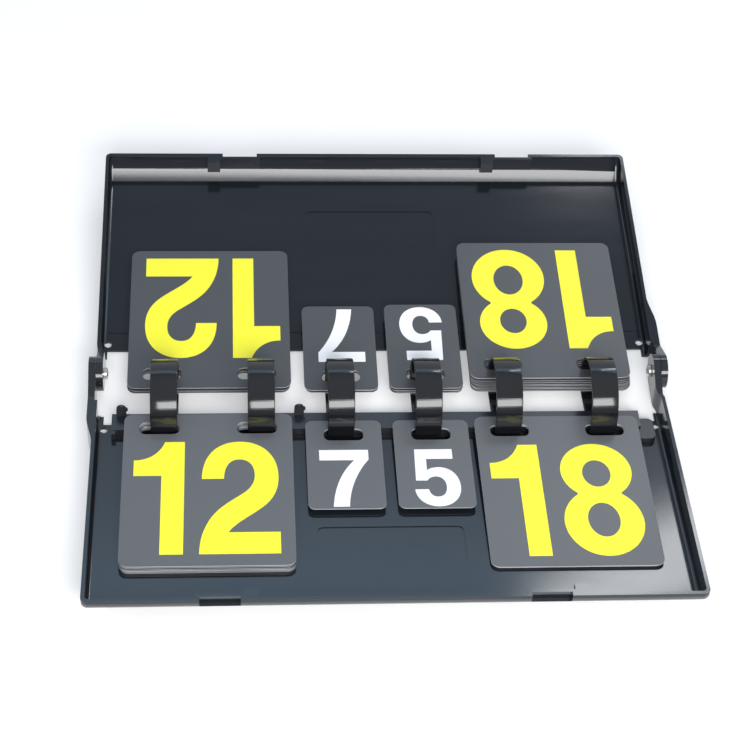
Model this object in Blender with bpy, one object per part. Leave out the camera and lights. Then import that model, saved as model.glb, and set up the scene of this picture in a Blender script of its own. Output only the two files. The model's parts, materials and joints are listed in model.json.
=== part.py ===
"""Portable basketball score board: two moulded half cases hinged at their ends,
with four columns of numeral cards that flip over wide flat rings.

Metres, +Z up, +Y away from the reader. The board lies open as a shallow V:
each half rises a little from the hinge edges of its floor, on which it stands.
X = 0 is the middle of the case and Y = 0 is the line of the hinge pivots.
Lengths of one half are laid out from the pivot line outwards and from the
underside of its hinge ledge upwards.
"""
from math import acos, atan2, cos, pi, radians, sin, sqrt, tan

import bmesh
import bpy
from mathutils import Matrix, Vector

MM = 0.001

# Case halves: two copies of one moulding, turned half round to each other
CASE_WIDTH = 377 * MM
CASE_REACH = 200.3 * MM
PIVOT_HEIGHT = 18 * MM
LEAN = radians(5)
WALL = 2.3 * MM
LEDGE_EDGE = 32 * MM
LEDGE_SINK = 0.5 * MM
STEP_REACH = 47 * MM
SIDE_WALL_START = 25 * MM
OUTER_ROUND = 15.5 * MM
SIDE_ROUND = 3.5 * MM
FIT_GAP = 0.3 * MM
SEAM = 0.05 * MM
HEEL_RELIEF = 0.15 * MM
CUT_OVERRUN = 10 * MM

# Ears at the hinge: the outer ear of one half laps the inner ear of the other
EAR_RADIUS = 11.5 * MM
EAR_TOP_REACH = 22 * MM
EAR_PROUD = 4 * MM
OUTER_EAR_THICKNESS = 4.5 * MM
INNER_EAR_THICKNESS = 4.7 * MM
OUTER_EAR_FLARE_START = 40 * MM
OUTER_EAR_FLARE_END = 66 * MM
INNER_EAR_BEND_START = 16 * MM
INNER_EAR_BEND_END = 29 * MM
SCREW_SHANK = 4.0 * MM
SCREW_HEAD = 8.0 * MM
SCREW_HEAD_HEIGHT = 2.6 * MM
SCREW_RECESS_SPAN = 4.6 * MM
SCREW_RECESS_SLOT = 1.2 * MM
SCREW_RECESS_DEPTH = 1.3 * MM

# Openings and marks moulded into each half
LEDGE_HOLE = 5.2 * MM
LEDGE_HOLE_INSET = 6 * MM
LEDGE_HOLE_REACH = 37 * MM
SIDE_SLOT_LENGTH = 6 * MM
SIDE_SLOT_HEIGHT = 2.6 * MM
SIDE_SLOT_REACH = 62.5 * MM
SIDE_SLOT_LIFT = 9 * MM
PANEL_WIDTH = 92 * MM
PANEL_DEPTH = 32.5 * MM
PANEL_REACH = 141.8 * MM
PANEL_SINK = 0.6 * MM
PANEL_CORNER = 4 * MM
RING_NOTCH_WIDTH = 21.4 * MM
RING_NOTCH_END = 43.5 * MM
JOG_SINK = 3.0 * MM
JOG_FLOOR = 9 * MM
JOGS = ((-104.5 * MM, -80 * MM), (94 * MM, 118.5 * MM))
CATCH_WIDTH = 9 * MM
CATCH_DEPTH = 7 * MM
CATCH_LOW = 8 * MM
CATCHES = (-111 * MM, 87.7 * MM)

# Rings: flat strips bent to a round arch that stands on a straight foot
RING_RADIUS = 26.1 * MM
RING_THICKNESS = 1.8 * MM
RING_WIDTH = 17.4 * MM
RING_REACH = 21.7 * MM
RING_CENTRE_HEIGHT = 14 * MM
RING_FOOT_HEIGHT = 4.5 * MM
RING_CORNER = 2.6 * MM
RING_STEPS = 26

# Carrier that lies in the ledge of the front half; the ring feet run in its tunnels
CARRIER_START = 28.7 * MM
CARRIER_END = 43 * MM
CARRIER_LEFT_INSET = 11.5 * MM
CARRIER_RIGHT_INSET = 17.5 * MM
FLANGE_END = 46.6 * MM
FLANGE_TOP = 3.0 * MM
END_WALL = 2.8 * MM
LUG_START = 34 * MM
LUG_END = 53 * MM
LUG_INSET = 8.5 * MM
LUG_HEIGHT = 6.2 * MM
LUG_CORNER = 4 * MM
POST_WIDTH = 6.4 * MM
POST_THICKNESS = 2.2 * MM
POST_TOP = 16.9 * MM
POST_BUMP = 1.1 * MM
END_POST_INSET = 6.3 * MM
MIDDLE_POST_SHARE = 0.1454

# Cards: share of the case width, length, corner
LARGE_CARD_SHARE = 0.2878
SMALL_CARD_SHARE = 0.1311
CARD_SIZES = {
    "large": (LARGE_CARD_SHARE, 127 * MM, 5.5 * MM),
    "small": (SMALL_CARD_SHARE, 76 * MM, 4.5 * MM),
}
CARD_THICKNESS = 0.6 * MM
FRONT_LEAN = radians(2.3)
REAR_LEAN = radians(1.2)
SLOT_WIDTH = 25.8 * MM
SLOT_CORNER = 4 * MM
SLOT_DEPTH = 10.2 * MM
SLOT_START = 7.4 * MM
RING_SPREAD_SHARE = 0.29
FRONT_PACK_LOW = -4.85 * MM
REAR_PACK_LOW = -5.8 * MM

# Columns: share of the case width from its middle to the middle of their rings, card size
LEFT_RINGS_SHARE = -0.2948
SEVEN_RING_SHARE = -0.0739
FIVE_RING_SHARE = 0.0772
RIGHT_RINGS_SHARE = 0.3003
COLUMNS = (
    ("left", LEFT_RINGS_SHARE, "large"),
    ("seven", SEVEN_RING_SHARE, "small"),
    ("five", FIVE_RING_SHARE, "small"),
    ("right", RIGHT_RINGS_SHARE, "large"),
)

# Cards as they lie: slide along X off the rings' middle, hinge edge from the ring axis, pack height
LAID = {
    "front_left": (-2.9 * MM, 13.1 * MM, 4.4 * MM),
    "front_seven": (1.5 * MM, 16.6 * MM, 0.9 * MM),
    "front_five": (1.7 * MM, 16.6 * MM, 0.9 * MM),
    "front_right": (1.0 * MM, 14.2 * MM, 1.2 * MM),
    "rear_left": (-2.5 * MM, 12.5 * MM, 2.6 * MM),
    "rear_seven": (1.9 * MM, 10.8 * MM, 1.6 * MM),
    "rear_five": (1.7 * MM, 10.8 * MM, 3.1 * MM),
    "rear_right": (1.4 * MM, 16 * MM, 6.9 * MM),
}

HALF_WIDTH = CASE_WIDTH / 2
EAR_OUTER_X = HALF_WIDTH + EAR_PROUD
OUTER_EAR_INNER_X = EAR_OUTER_X - OUTER_EAR_THICKNESS
INNER_EAR_OUTER_X = OUTER_EAR_INNER_X - FIT_GAP
INNER_EAR_INNER_X = INNER_EAR_OUTER_X - INNER_EAR_THICKNESS
RIM = PIVOT_HEIGHT - FIT_GAP / 2
ABOVE_RIM = 45 * MM
PIVOT_Z = PIVOT_HEIGHT * cos(LEAN) - LEDGE_EDGE * sin(LEAN)
RING_FOOT_DROP = RING_CENTRE_HEIGHT - RING_FOOT_HEIGHT


def clear_scene():
    for item in list(bpy.data.objects):
        bpy.data.objects.remove(item, do_unlink=True)


def new_collection(name):
    group = bpy.data.collections.new(name)
    bpy.context.scene.collection.children.link(group)
    return group


def plastic(name, colour, roughness, metallic=0.0):
    """A Principled material with the given linear colour."""
    material = bpy.data.materials.new(name)
    material.use_nodes = True
    shader = material.node_tree.nodes["Principled BSDF"]
    shader.inputs["Base Color"].default_value = (*colour, 1.0)
    shader.inputs["Roughness"].default_value = roughness
    shader.inputs["Metallic"].default_value = metallic
    material.diffuse_color = (*colour, 1.0)
    return material


def add_object(name, mesh, group):
    item = bpy.data.objects.new(name, mesh)
    group.objects.link(item)
    return item


def add_cutter(name, mesh):
    item = add_object(name, mesh, CUTTERS)
    item.hide_render = True
    item.display_type = "WIRE"
    return item


def arc(centre, radius, start, end, steps):
    """Points of a round stretch, both ends included, angles in radians."""
    points = []
    for index in range(steps + 1):
        angle = start + (end - start) * index / steps
        points.append((centre[0] + radius * cos(angle), centre[1] + radius * sin(angle)))
    return points


def rounded_rectangle(left, right, low, high, corner, steps=4):
    """Outline of a rectangle with round corners, counter-clockwise."""
    points = []
    points += arc((right - corner, high - corner), corner, 0, pi / 2, steps)
    points += arc((left + corner, high - corner), corner, pi / 2, pi, steps)
    points += arc((left + corner, low + corner), corner, pi, 3 * pi / 2, steps)
    points += arc((right - corner, low + corner), corner, 3 * pi / 2, 2 * pi, steps)
    return points


def extruded(name, outline, start, end, across):
    """Solid mesh of an outline pushed along X (outline in YZ) or Z (outline in XY)."""
    mesh = bpy.data.meshes.new(name)
    shape = bmesh.new()
    if across == "X":
        ring = [shape.verts.new((start, a, b)) for a, b in outline]
        push = Vector((end - start, 0, 0))
    else:
        ring = [shape.verts.new((a, b, start)) for a, b in outline]
        push = Vector((0, 0, end - start))
    face = shape.faces.new(ring)
    grown = bmesh.ops.extrude_face_region(shape, geom=[face])
    moved = [item for item in grown["geom"] if isinstance(item, bmesh.types.BMVert)]
    bmesh.ops.translate(shape, verts=moved, vec=push)
    bmesh.ops.recalc_face_normals(shape, faces=shape.faces[:])
    shape.to_mesh(mesh)
    shape.free()
    return mesh


def box(name, low, high):
    """Box mesh between two corners."""
    mesh = bpy.data.meshes.new(name)
    shape = bmesh.new()
    bmesh.ops.create_cube(shape, size=1.0)
    size = [high[i] - low[i] for i in range(3)]
    middle = [(high[i] + low[i]) / 2 for i in range(3)]
    bmesh.ops.scale(shape, vec=size, verts=shape.verts[:])
    bmesh.ops.translate(shape, vec=middle, verts=shape.verts[:])
    shape.to_mesh(mesh)
    shape.free()
    return mesh


def rod(name, radius, start, end, direction, centre, sides=24):
    """Cylinder mesh from start to end along X or Z through a centre point."""
    mesh = bpy.data.meshes.new(name)
    shape = bmesh.new()
    bmesh.ops.create_cone(shape, cap_ends=True, segments=sides, radius1=radius,
                          radius2=radius, depth=end - start)
    bmesh.ops.translate(shape, vec=(0, 0, (start + end) / 2), verts=shape.verts[:])
    if direction == "X":
        bmesh.ops.rotate(shape, matrix=Matrix.Rotation(pi / 2, 3, "Y"), verts=shape.verts[:])
        bmesh.ops.translate(shape, vec=(0, centre[0], centre[1]), verts=shape.verts[:])
    else:
        bmesh.ops.translate(shape, vec=(centre[0], centre[1], 0), verts=shape.verts[:])
    shape.to_mesh(mesh)
    shape.free()
    return mesh


def combine(item, other, operation):
    """Add a Boolean modifier that joins, cuts or intersects with another object."""
    modifier = item.modifiers.new(operation.lower() + "_" + other.name, "BOOLEAN")
    modifier.operation = operation
    modifier.solver = "EXACT"
    modifier.object = other


def settled_mesh(item, name):
    """Plain mesh of an object with all its modifiers applied."""
    bpy.context.view_layer.update()
    graph = bpy.context.evaluated_depsgraph_get()
    mesh = bpy.data.meshes.new_from_object(item.evaluated_get(graph))
    mesh.name = name
    shape = bmesh.new()
    shape.from_mesh(mesh)
    bmesh.ops.remove_doubles(shape, verts=shape.verts[:], dist=0.000002)
    bmesh.ops.dissolve_degenerate(shape, edges=shape.edges[:], dist=0.000002)
    shape.to_mesh(mesh)
    shape.free()
    return mesh


def smooth(mesh, angle=40):
    mesh.shade_smooth()
    mesh.set_sharp_from_angle(angle=radians(angle))


def wall_profile(offset, hinge_end):
    """Side view of one half, the offset inside its outer skin: floor and round
    outer wall."""
    reach = CASE_REACH - offset
    radius = OUTER_ROUND - offset
    points = [(hinge_end, ABOVE_RIM), (hinge_end, offset)]
    points += arc((reach - radius, offset + radius), radius, -pi / 2, 0, 8)
    points.append((reach, ABOVE_RIM))
    return points


def round_side_edges(mesh, half_width, radius, hinge_end):
    """Round the long edges of a profile solid where floor and outer wall meet its sides."""
    shape = bmesh.new()
    shape.from_mesh(mesh)
    near = 0.1 * MM
    chosen = []
    for edge in shape.edges:
        on_side = all(abs(abs(v.co.x) - half_width) < near for v in edge.verts)
        same_side = edge.verts[0].co.x * edge.verts[1].co.x > 0
        on_top = all(abs(v.co.z - ABOVE_RIM) < near for v in edge.verts)
        on_hinge_end = all(abs(v.co.y - hinge_end) < near for v in edge.verts)
        if on_side and same_side and not on_top and not on_hinge_end:
            chosen.append(edge)
    bmesh.ops.bevel(shape, geom=chosen, offset=radius, segments=3, profile=0.5,
                    affect="EDGES", offset_type="OFFSET", clamp_overlap=True)
    bmesh.ops.recalc_face_normals(shape, faces=shape.faces[:])
    shape.to_mesh(mesh)
    shape.free()


def ear_side_view(reach):
    """Side view of an ear: round lobe on the pivot, run out along floor and rim."""
    centre = (0.0, PIVOT_HEIGHT)
    rise = RIM - SEAM - PIVOT_HEIGHT
    top_distance = sqrt(EAR_TOP_REACH ** 2 + rise ** 2)
    top_angle = atan2(rise, EAR_TOP_REACH) + acos(EAR_RADIUS / top_distance)
    foot = (LEDGE_EDGE + WALL, SEAM)
    foot_distance = sqrt(foot[0] ** 2 + (PIVOT_HEIGHT - SEAM) ** 2)
    foot_angle = atan2(SEAM - PIVOT_HEIGHT, foot[0]) - acos(EAR_RADIUS / foot_distance)
    points = arc(centre, EAR_RADIUS, top_angle, foot_angle + 2 * pi, 18)
    points += [foot, (reach, SEAM), (reach, RIM - SEAM), (EAR_TOP_REACH, RIM - SEAM)]
    return points


def ear(name, plan, reach):
    """Ear solid: its plan outline pushed up, kept where its side view is."""
    solid = add_cutter(name, extruded(name, plan, -ABOVE_RIM, ABOVE_RIM, "Z"))
    xs = [point[0] for point in plan]
    side = extruded(name + "_side", ear_side_view(reach), min(xs) - WALL, max(xs) + WALL, "X")
    combine(solid, add_cutter(name + "_side", side), "INTERSECT")
    return solid


def outer_ear_plan():
    """Plan of the ear at the +X end: its outer face flares out from the side wall."""
    middle = HALF_WIDTH - WALL / 2
    flare = EAR_OUTER_X - HALF_WIDTH + 2 * SEAM
    span = OUTER_EAR_FLARE_END - OUTER_EAR_FLARE_START
    points = [(OUTER_EAR_INNER_X, -EAR_RADIUS - WALL), (EAR_OUTER_X, -EAR_RADIUS - WALL)]
    for index in range(9):
        share = index / 8
        curve = (1 - cos(pi * share)) / 2
        points.append((EAR_OUTER_X - flare * curve, OUTER_EAR_FLARE_START + span * share))
    points.append((middle, OUTER_EAR_FLARE_END))
    points.append((middle, SIDE_WALL_START + 4 * FIT_GAP))
    points.append((OUTER_EAR_INNER_X, SIDE_WALL_START - 3 * FIT_GAP))
    return points


def inner_ear_plan():
    """Plan of the ear at the -X end: the side wall bends inwards to the inner ear."""
    side_end = INNER_EAR_BEND_END + FIT_GAP
    inside_wall = HALF_WIDTH - WALL + FIT_GAP
    points = [(INNER_EAR_INNER_X, -EAR_RADIUS - WALL), (INNER_EAR_OUTER_X, -EAR_RADIUS - WALL)]
    points.append((INNER_EAR_OUTER_X, EAR_TOP_REACH + FIT_GAP))
    points.append((HALF_WIDTH - FIT_GAP, SIDE_WALL_START + FIT_GAP))
    points.append((HALF_WIDTH - FIT_GAP, side_end))
    points.append((inside_wall, side_end))
    bend = INNER_EAR_BEND_END - INNER_EAR_BEND_START
    depth = inside_wall - INNER_EAR_INNER_X
    for index in range(8, -1, -1):
        share = index / 8
        curve = (1 - cos(pi * share)) / 2
        points.append((INNER_EAR_INNER_X + depth * curve, INNER_EAR_BEND_START + bend * share))
    return [(-x, y) for x, y in reversed(points)]


def cut_box(target, name, low, high):
    combine(target, add_cutter(name, box(name, low, high)), "DIFFERENCE")


def add_box(target, name, low, high):
    combine(target, add_cutter(name, box(name, low, high)), "UNION")


def case_half_mesh():
    """One half of the case, its origin on the pivot line."""
    hinge_end = SIDE_WALL_START
    outer = extruded("case_skin", wall_profile(0.0, hinge_end), -HALF_WIDTH, HALF_WIDTH, "X")
    round_side_edges(outer, HALF_WIDTH, SIDE_ROUND, hinge_end)
    shell = add_cutter("case_skin", outer)

    inner_end = hinge_end - CUT_OVERRUN
    inside = HALF_WIDTH - WALL
    cavity = extruded("case_cavity", wall_profile(WALL, inner_end), -inside, inside, "X")
    round_side_edges(cavity, inside, SIDE_ROUND - WALL / 2, inner_end)
    combine(shell, add_cutter("case_cavity", cavity), "DIFFERENCE")
    clear = inside - SIDE_ROUND
    cut_box(shell, "ledge_sink", (-clear, inner_end - WALL, WALL - LEDGE_SINK),
            (clear, STEP_REACH, 2 * WALL))
    cut_box(shell, "ledge_end", (-clear, inner_end, -WALL), (clear, LEDGE_EDGE, 3 * WALL))

    back = CASE_REACH - WALL
    for index, (left, right) in enumerate(JOGS):
        add_box(shell, "jog_back_%d" % index, (left - WALL, back - JOG_SINK, JOG_FLOOR - WALL / 2),
                (right + WALL, back + WALL / 8, ABOVE_RIM))
    for index, middle in enumerate(CATCHES):
        add_box(shell, "catch_%d" % index, (middle - CATCH_WIDTH / 2, back - CATCH_DEPTH, CATCH_LOW),
                (middle + CATCH_WIDTH / 2, back + WALL / 10, ABOVE_RIM - WALL))
    for index, (left, right) in enumerate(JOGS):
        cut_box(shell, "jog_%d" % index, (left, CASE_REACH - JOG_SINK, JOG_FLOOR),
                (right, CASE_REACH + WALL, ABOVE_RIM + WALL))
    relief = (LEDGE_EDGE - SIDE_WALL_START) * tan(LEAN) + HEEL_RELIEF
    cut_box(shell, "heel_relief", (-CASE_WIDTH, inner_end, -WALL), (CASE_WIDTH, LEDGE_EDGE, relief))
    cut_box(shell, "above_rim", (-CASE_WIDTH, -CASE_REACH, RIM), (CASE_WIDTH, 2 * CASE_REACH, 2 * ABOVE_RIM))

    combine(shell, ear("outer_ear", outer_ear_plan(), OUTER_EAR_FLARE_END), "UNION")
    combine(shell, ear("inner_ear", inner_ear_plan(), OUTER_EAR_FLARE_END), "UNION")

    pivot = (0.0, PIVOT_HEIGHT)
    bore = rod("pivot_bore", SCREW_SHANK / 2 + FIT_GAP, -CASE_WIDTH, CASE_WIDTH, "X", pivot)
    combine(shell, add_cutter("pivot_bore", bore), "DIFFERENCE")

    for side in (-1, 1):
        tag = "left" if side < 0 else "right"
        hole = rod("ledge_hole_" + tag, LEDGE_HOLE / 2, -WALL, 2 * WALL, "Z",
                   (side * (HALF_WIDTH - LEDGE_HOLE_INSET), LEDGE_HOLE_REACH))
        combine(shell, add_cutter("ledge_hole_" + tag, hole), "DIFFERENCE")
        ends = sorted((side * (HALF_WIDTH - 2 * WALL), side * (EAR_OUTER_X + WALL)))
        half = SIDE_SLOT_LENGTH / 2
        cut_box(shell, "side_slot_" + tag, (ends[0], SIDE_SLOT_REACH - half, SIDE_SLOT_LIFT),
                (ends[1], SIDE_SLOT_REACH + half, SIDE_SLOT_LIFT + SIDE_SLOT_HEIGHT))
    for index, x in enumerate(ring_places()):
        half = RING_NOTCH_WIDTH / 2
        cut_box(shell, "ring_notch_%d" % index, (x - half, LEDGE_EDGE - WALL, -WALL),
                (x + half, RING_NOTCH_END, 2 * WALL))

    panel = rounded_rectangle(-PANEL_WIDTH / 2, PANEL_WIDTH / 2, PANEL_REACH - PANEL_DEPTH / 2,
                              PANEL_REACH + PANEL_DEPTH / 2, PANEL_CORNER)
    sunk = extruded("panel", panel, WALL - PANEL_SINK, 2 * WALL, "Z")
    combine(shell, add_cutter("panel", sunk), "DIFFERENCE")

    mesh = settled_mesh(shell, "case_half")
    mesh.transform(Matrix.Translation((0, 0, -PIVOT_HEIGHT)))
    smooth(mesh)
    return mesh


def half_frame(name, turned):
    """Empty on the pivot line that carries one half at its lean."""
    frame = add_object(name, None, BOARD)
    frame.location = (0, 0, PIVOT_Z)
    frame.rotation_euler = (LEAN, 0, pi if turned else 0)
    return frame


def card_pack(name, kind, low, high, ring_x, slide, edge):
    """A pack of cards, or one card, with a slot for each ring it hangs on."""
    share, length, corner = CARD_SIZES[kind]
    half = share * CASE_WIDTH / 2
    outline = rounded_rectangle(-half, half, edge, edge + length, corner)
    pack = add_cutter(name + "_blank", extruded(name + "_blank", outline, low, high, "Z"))
    near = edge + SLOT_START
    for index, offset in enumerate(ring_offsets(kind)):
        outline = rounded_rectangle(offset - SLOT_WIDTH / 2, offset + SLOT_WIDTH / 2,
                                    near, near + SLOT_DEPTH, SLOT_CORNER)
        slot_name = "%s_slot_%d" % (name, index)
        slot = extruded(slot_name, outline, low - CARD_THICKNESS, high + CARD_THICKNESS, "Z")
        combine(pack, add_cutter(slot_name, slot), "DIFFERENCE")
    mesh = settled_mesh(pack, name)
    mesh.transform(Matrix.Translation((ring_x + slide, 0, 0)))
    smooth(mesh)
    return mesh


def ring_offsets(kind):
    """X of the rings of one column from their middle."""
    spread = RING_SPREAD_SHARE * LARGE_CARD_SHARE * CASE_WIDTH
    return (-spread, spread) if kind == "large" else (0.0,)


def loop_outline(radius, drop, corner, steps):
    """Outline of a round arch on a straight foot, with small round corners."""
    side = sqrt((radius - corner) ** 2 - (drop - corner) ** 2)
    turn = atan2(-(drop - corner), side)
    points = arc((0, 0), radius, turn, pi - turn, steps)
    points += arc((-side, corner - drop), corner, pi - turn, 3 * pi / 2, 3)[1:]
    points += arc((side, corner - drop), corner, -pi / 2, turn, 3)[:-1]
    return points


def ring_mesh():
    """Closed strip, drawn as a flat outline with its inside left open."""
    outline = bpy.data.curves.new("ring_outline", "CURVE")
    outline.dimensions = "2D"
    outline.fill_mode = "BOTH"
    outline.extrude = RING_WIDTH / 2
    half = RING_THICKNESS / 2
    for offset in (half, -half):
        corner = RING_CORNER + offset
        points = loop_outline(RING_RADIUS + offset, RING_FOOT_DROP + offset, corner, RING_STEPS)
        spline = outline.splines.new("POLY")
        spline.points.add(len(points) - 1)
        for point, (y, z) in zip(spline.points, points):
            point.co = (y, z, 0, 1)
        spline.use_cyclic_u = True
    drawn = add_cutter("ring_outline", outline)
    mesh = settled_mesh(drawn, "ring")
    bpy.data.objects.remove(drawn, do_unlink=True)
    stand = Matrix(((0, 0, 1, 0), (1, 0, 0, 0), (0, 1, 0, 0), (0, 0, 0, 1)))
    mesh.transform(stand)
    shape = bmesh.new()
    shape.from_mesh(mesh)
    bmesh.ops.recalc_face_normals(shape, faces=shape.faces[:])
    shape.to_mesh(mesh)
    shape.free()
    smooth(mesh)
    return mesh


def carrier_top(reach):
    """Height of the carrier's sloping top, just under the front cards."""
    slope = tan(LEAN - FRONT_LEAN)
    under = FRONT_PACK_LOW / cos(LEAN - FRONT_LEAN)
    return RING_CENTRE_HEIGHT - (reach - RING_REACH) * slope + under - FIT_GAP


def carrier_mesh():
    """Carrier with its tunnels for the ring feet, low flange, end wall, lug and two
    posts. Laid out with X as the reader sees it, then turned with the front half."""
    low = WALL + FIT_GAP - LEDGE_SINK
    left = CARRIER_LEFT_INSET - HALF_WIDTH
    right = HALF_WIDTH - CARRIER_RIGHT_INSET
    profile = [(CARRIER_START, low), (FLANGE_END, low), (FLANGE_END, FLANGE_TOP), (CARRIER_END, FLANGE_TOP)]
    profile += [(CARRIER_END, carrier_top(CARRIER_END)), (CARRIER_START, carrier_top(CARRIER_START))]
    strip = add_cutter("carrier_blank", extruded("carrier_blank", profile, left, right, "X"))
    add_box(strip, "end_wall", (left + SEAM, CARRIER_END - END_WALL, low + SEAM),
            (left + END_WALL, FLANGE_END - SEAM, carrier_top(FLANGE_END) - SEAM))
    outline = rounded_rectangle(right - LUG_CORNER, HALF_WIDTH - LUG_INSET, LUG_START, LUG_END, LUG_CORNER)
    lug = extruded("lug", outline, WALL + FIT_GAP, LUG_HEIGHT, "Z")
    combine(strip, add_cutter("lug", lug), "UNION")
    half = POST_WIDTH / 2
    for index, place in enumerate((END_POST_INSET + left, -MIDDLE_POST_SHARE * CASE_WIDTH)):
        outline = [(WALL + FIT_GAP, place + half)]
        outline += arc((POST_TOP - half, place), half, pi / 2, -pi / 2, 8)
        outline.append((WALL + FIT_GAP, place - half))
        post = extruded("post_%d" % index, outline, 0, POST_THICKNESS, "Z")
        post.transform(Matrix(((0, 1, 0, 0), (0, 0, 1, CARRIER_START + SEAM), (1, 0, 0, 0), (0, 0, 0, 1))))
        combine(strip, add_cutter("post_%d" % index, post), "UNION")
        bump = rod("post_bump_%d" % index, POST_BUMP, 0, POST_THICKNESS * 0.8, "Z", (0, 0), 12)
        seat = Vector((place + half, CARRIER_START + POST_THICKNESS * 0.9, POST_TOP - half))
        bump.transform(Matrix.Translation(seat) @ Matrix.Rotation(pi / 2, 4, "X"))
        combine(strip, add_cutter("post_bump_%d" % index, bump), "UNION")
    half_strip = RING_THICKNESS / 2 + FIT_GAP
    span = RING_WIDTH / 2 + FIT_GAP
    for index, place in enumerate(ring_places()):
        cut_box(strip, "foot_tunnel_%d" % index,
                (place - span, CARRIER_START - WALL, RING_FOOT_HEIGHT - half_strip),
                (place + span, FLANGE_END + WALL, RING_FOOT_HEIGHT + half_strip))
    mesh = settled_mesh(strip, "carrier")
    mesh.transform(Matrix.Rotation(pi, 4, "Z") @ Matrix.Scale(-1, 4, Vector((0, 1, 0))))
    mesh.flip_normals()
    mesh.transform(Matrix.Translation((0, 0, -PIVOT_HEIGHT)))
    smooth(mesh)
    return mesh


def ring_places():
    """X of each ring, as the reader sees the board from the front."""
    places = []
    for _, share, kind in COLUMNS:
        places += [share * CASE_WIDTH + offset for offset in ring_offsets(kind)]
    return places


def screw_mesh():
    """Pivot screw along +X: shank in the outer ear, head on the inner ear's inner face."""
    head_start = INNER_EAR_INNER_X - FIT_GAP - SCREW_HEAD_HEIGHT
    profile = [
        (EAR_OUTER_X - WALL / 2, 0.0),
        (EAR_OUTER_X - WALL / 2, SCREW_SHANK / 2),
        (INNER_EAR_INNER_X - FIT_GAP, SCREW_SHANK / 2),
        (INNER_EAR_INNER_X - FIT_GAP, SCREW_HEAD / 2),
        (head_start + SCREW_HEAD_HEIGHT * 0.35, SCREW_HEAD / 2),
        (head_start + SCREW_HEAD_HEIGHT * 0.1, SCREW_HEAD * 0.38),
        (head_start, SCREW_HEAD * 0.2),
        (head_start, 0.0),
    ]
    mesh = bpy.data.meshes.new("screw_profile")
    shape = bmesh.new()
    verts = [shape.verts.new((radius, 0, along)) for along, radius in profile]
    for first, second in zip(verts, verts[1:]):
        shape.edges.new((first, second))
    bmesh.ops.spin(shape, geom=shape.verts[:] + shape.edges[:], cent=(0, 0, 0), axis=(0, 0, 1),
                   angle=2 * pi, steps=24, use_merge=True)
    bmesh.ops.remove_doubles(shape, verts=shape.verts[:], dist=0.00001)
    bmesh.ops.rotate(shape, matrix=Matrix.Rotation(pi / 2, 3, "Y"), verts=shape.verts[:])
    bmesh.ops.recalc_face_normals(shape, faces=shape.faces[:])
    shape.to_mesh(mesh)
    shape.free()
    turned = add_cutter("screw_blank", mesh)
    for index, (span_y, span_z) in enumerate(((SCREW_RECESS_SPAN, SCREW_RECESS_SLOT),
                                              (SCREW_RECESS_SLOT, SCREW_RECESS_SPAN))):
        slot = box("screw_slot_%d" % index, (head_start - WALL, -span_y / 2, -span_z / 2),
                   (head_start + SCREW_RECESS_DEPTH, span_y / 2, span_z / 2))
        combine(turned, add_cutter("screw_slot_%d" % index, slot), "DIFFERENCE")
    mesh = settled_mesh(turned, "pivot_screw")
    smooth(mesh)
    return mesh


def place(name, mesh, material, parent, location=(0, 0, 0), rotation=(0, 0, 0)):
    item = add_object(name, mesh, BOARD)
    item.parent = parent
    item.location = location
    item.rotation_euler = rotation
    if not mesh.materials:
        mesh.materials.append(material)
    return item


def build():
    gloss_black = plastic("gloss_black_case", (0.018, 0.022, 0.028), 0.16)
    ring_black = plastic("ring_black", (0.012, 0.013, 0.016), 0.22)
    carrier_black = plastic("carrier_black", (0.016, 0.018, 0.023), 0.3)
    card_grey = plastic("card_grey", (0.075, 0.08, 0.088), 0.42)
    pack_grey = plastic("pack_grey", (0.06, 0.064, 0.072), 0.5)
    steel = plastic("plated_steel", (0.62, 0.62, 0.6), 0.3, 1.0)

    rear = half_frame("rear_half", False)
    front = half_frame("front_half", True)
    half = case_half_mesh()
    place("rear_case", half, gloss_black, rear)
    place("front_case", half, gloss_black, front)

    place("ring_carrier", carrier_mesh(), carrier_black, front)
    ring = ring_mesh()
    ring_seat = Vector((0, RING_REACH, RING_CENTRE_HEIGHT - PIVOT_HEIGHT))
    for index, x in enumerate(ring_places()):
        place("ring_%d" % (index + 1), ring, ring_black, front, ring_seat - Vector((x, 0, 0)))

    screw = screw_mesh()
    place("pivot_screw_right", screw, steel, rear)
    place("pivot_screw_left", screw, steel, front)

    bpy.context.view_layer.update()
    axis_point = front.matrix_world @ ring_seat
    for side, low, lean, sign in (("front", FRONT_PACK_LOW, FRONT_LEAN, -1),
                                  ("rear", REAR_PACK_LOW, REAR_LEAN, 1)):
        turn = (lean, 0, pi if side == "front" else 0)
        for column, share, kind in COLUMNS:
            slide, edge, height = LAID["%s_%s" % (side, column)]
            places = (sign * share * CASE_WIDTH, sign * slide, edge)
            pack_name = "%s_pack_%s" % (side, column)
            mesh = card_pack(pack_name, kind, low, low + height, *places)
            place(pack_name, mesh, pack_grey, None, axis_point, turn)
            top = low + height + FIT_GAP
            card_name = "%s_card_%s" % (side, column)
            mesh = card_pack(card_name, kind, top, top + CARD_THICKNESS, *places)
            place(card_name, mesh, card_grey, None, axis_point, turn)


clear_scene()
BOARD = new_collection("basketball_scoreboard")
CUTTERS = new_collection("cutters")
build()
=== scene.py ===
import json
from math import atan2, cos, hypot, pi, radians, sin, sqrt

import bmesh
import bpy
from mathutils import Euler, Matrix, Quaternion, Vector

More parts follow.
